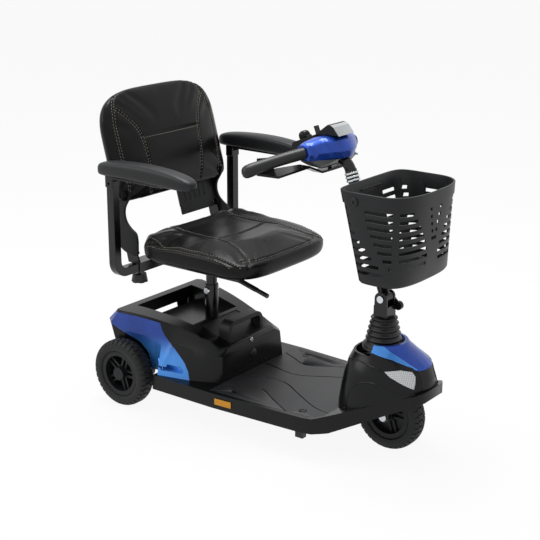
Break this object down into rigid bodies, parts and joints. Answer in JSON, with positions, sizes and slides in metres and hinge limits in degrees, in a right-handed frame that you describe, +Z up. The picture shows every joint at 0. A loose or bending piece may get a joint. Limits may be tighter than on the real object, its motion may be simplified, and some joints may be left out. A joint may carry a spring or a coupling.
{
  "type": "mobility scooter",
  "caption": "Travel mobility scooter on small solid tyres, with a swivel seat, folding backrest, flip-up armrests, hinged tiller, lift-off basket and lift-out battery pack.",
  "frame": {"origin": "on the ground, at the middle of the whole scooter's length and width", "axes": "+X forward, +Y to the rider's left, +Z up"},
  "size_m": [1.01, 0.5858, 0.9174],
  "materials": {
    "frame_paint": "satin black powder coat",
    "steel": "bright",
    "cast_alloy": "cast",
    "black_plastic": "fine grain",
    "gloss_black": "semi gloss",
    "blue_paint": "metallic lacquer",
    "grey_plastic": "fine grain",
    "rubber": "matte",
    "tyre": "matte",
    "vinyl": "grained, soft sheen",
    "amber": "prismatic",
    "red_plastic": "smooth",
    "lens": "clear over prisms",
    "yellow_plastic": "smooth"
  },
  "bodies": {
    "chassis": {"rear_frame": "frame_paint", "front_frame": "frame_paint", "chassis_bearings": "steel", "transaxle": "cast_alloy", "drive_motor": "frame_paint", "controller": "cast_alloy", "anti_tip_bracket": "frame_paint", "deck_pan": "black_plastic", "deck_mat": "rubber", "side_reflectors": "amber", "front_cover": "gloss_black", "front_cap": "blue_paint", "front_lenses": "lens", "rear_cover": "black_plastic", "side_panel_right": "blue_paint", "side_panel_left": "blue_paint", "seat_post_tube": "frame_paint", "seat_post_bolt": "steel"},
    "rear_wheel_right": {"rear_tyre_right": "tyre", "rear_rim_right": "grey_plastic", "rear_axle_right": "steel"},
    "rear_wheel_left": {"rear_tyre_left": "tyre", "rear_rim_left": "grey_plastic", "rear_axle_left": "steel"},
    "anti_tip_roller": {"anti_tip_wheels": "grey_plastic"},
    "freewheel": {"freewheel_lever": "red_plastic"},
    "battery": {"battery_case": "gloss_black", "battery_cells": "grey_plastic"},
    "post": {"seat_post": "frame_paint"},
    "seat": {"seat_base": "frame_paint", "seat_cushion": "vinyl"},
    "seat_lever": {"swivel_lever": "black_plastic"},
    "backrest": {"backrest_frame": "grey_plastic", "backrest_pad": "vinyl"},
    "arm_right": {"armrest_tube_right": "frame_paint"},
    "arm_left": {"armrest_tube_left": "frame_paint"},
    "armpad_right": {"armrest_right": "grey_plastic"},
    "armpad_left": {"armrest_left": "grey_plastic"},
    "knob_right": {"armrest_knob_right": "black_plastic"},
    "knob_left": {"armrest_knob_left": "black_plastic"},
    "steering": {"steering_fork": "frame_paint", "front_axle": "steel", "hinge_yoke": "frame_paint", "bellows": "rubber"},
    "front_wheel": {"front_rim": "grey_plastic", "front_tyre": "tyre"},
    "tiller": {"tiller_tube": "frame_paint", "tiller_hinge_pin": "steel", "tiller_collar": "steel", "head_housing": "grey_plastic", "head_cover": "blue_paint", "handgrips": "rubber", "control_panel": "grey_plastic", "basket_bracket": "frame_paint"},
    "lock_lever": {"tiller_lock_lever": "black_plastic"},
    "throttle": {"throttle_lever": "black_plastic"},
    "dial": {"speed_dial": "black_plastic"},
    "key": {"ignition_key": "steel"},
    "horn": {"horn_button": "yellow_plastic"},
    "front_basket": {"basket": "grey_plastic"}
  },
  "joints": [
    {"name": "rear_wheel_right_spin", "type": "hinge", "parent": "chassis", "child": "rear_wheel_right", "pos_m": [-0.405, -0.224, 0.1], "axis": [0, 1, 0], "continuous": true},
    {"name": "rear_wheel_left_spin", "type": "hinge", "parent": "chassis", "child": "rear_wheel_left", "pos_m": [-0.405, 0.224, 0.1], "axis": [0, 1, 0], "continuous": true},
    {"name": "anti_tip_spin", "type": "hinge", "parent": "chassis", "child": "anti_tip_roller", "pos_m": [-0.477, 0, 0.034], "axis": [0, 1, 0], "continuous": true},
    {"name": "freewheel_turn", "type": "hinge", "parent": "chassis", "child": "freewheel", "pos_m": [-0.3207, -0.117, 0.097], "axis": [0, -1, 0], "range_deg": [0, 35]},
    {"name": "battery_lift", "type": "slide", "parent": "chassis", "child": "battery", "axis": [0, 0, 1], "range_m": [0, 0.09]},
    {"name": "seat_height", "type": "slide", "parent": "chassis", "child": "post", "axis": [0, 0, 1], "range_m": [0, 0.05]},
    {"name": "seat_swivel", "type": "hinge", "parent": "post", "child": "seat", "pos_m": [-0.253, 0, 0.4], "axis": [0, 0, 1], "continuous": true},
    {"name": "seat_lever_lift", "type": "hinge", "parent": "seat", "child": "seat_lever", "pos_m": [-0.093, -0.1, 0.4237], "axis": [0, -1, 0], "range_deg": [0, 8], "stiffness_Nm_per_rad": 3, "springref_deg": -11.46},
    {"name": "backrest_fold", "type": "hinge", "parent": "seat", "child": "backrest", "pos_m": [-0.405, 0, 0.525], "axis": [0, 1, 0], "range_deg": [0, 55]},
    {"name": "arm_right_slide", "type": "slide", "parent": "seat", "child": "arm_right", "axis": [0, -1, 0], "range_m": [0, 0.05]},
    {"name": "arm_left_slide", "type": "slide", "parent": "seat", "child": "arm_left", "axis": [0, 1, 0], "range_m": [0, 0.05]},
    {"name": "armpad_right_lift", "type": "hinge", "parent": "arm_right", "child": "armpad_right", "pos_m": [-0.384, -0.265, 0.68], "axis": [0, -1, 0], "range_deg": [0, 90]},
    {"name": "armpad_left_lift", "type": "hinge", "parent": "arm_left", "child": "armpad_left", "pos_m": [-0.384, 0.265, 0.68], "axis": [0, -1, 0], "range_deg": [0, 90]},
    {"name": "knob_right_turn", "type": "hinge", "parent": "seat", "child": "knob_right", "pos_m": [-0.384, -0.168, 0.38], "axis": [0, 0, 1], "continuous": true},
    {"name": "knob_left_turn", "type": "hinge", "parent": "seat", "child": "knob_left", "pos_m": [-0.384, 0.168, 0.38], "axis": [0, 0, 1], "continuous": true},
    {"name": "steer", "type": "hinge", "parent": "chassis", "child": "steering", "pos_m": [0.345, 0, 0.3], "axis": [0, 0, 1], "range_deg": [-35, 35]},
    {"name": "front_wheel_spin", "type": "hinge", "parent": "steering", "child": "front_wheel", "pos_m": [0.375, 0, 0.1], "axis": [0, 1, 0], "continuous": true},
    {"name": "tiller_fold", "type": "hinge", "parent": "steering", "child": "tiller", "pos_m": [0.345, 0, 0.425], "axis": [0, 1, 0], "range_deg": [-32, 6]},
    {"name": "lock_lever_turn", "type": "hinge", "parent": "steering", "child": "lock_lever", "pos_m": [0.345, 0.026, 0.425], "axis": [0, -1, 0], "range_deg": [0, 60]},
    {"name": "throttle_turn", "type": "hinge", "parent": "tiller", "child": "throttle", "pos_m": [0.16, 0, 0.76], "axis": [0, 0, 1], "range_deg": [-4.5, 4.5], "stiffness_Nm_per_rad": 6},
    {"name": "dial_turn", "type": "hinge", "parent": "tiller", "child": "dial", "pos_m": [0.07974, 0, 0.82043], "axis": [-0.3781, 0, 0.9258], "range_deg": [0, 270]},
    {"name": "key_turn", "type": "hinge", "parent": "tiller", "child": "key", "pos_m": [0.10844, 0.02, 0.83215], "axis": [-0.3781, 0, 0.9258], "range_deg": [0, 60]},
    {"name": "horn_press", "type": "slide", "parent": "tiller", "child": "horn", "axis": [0.3781, 0, -0.9258], "range_m": [0, 0.002], "stiffness_N_per_m": 600, "springref_m": -0.001},
    {"name": "basket_lift", "type": "slide", "parent": "tiller", "child": "front_basket", "axis": [0, 0, 1], "range_m": [0, 0.3]}
  ]
}
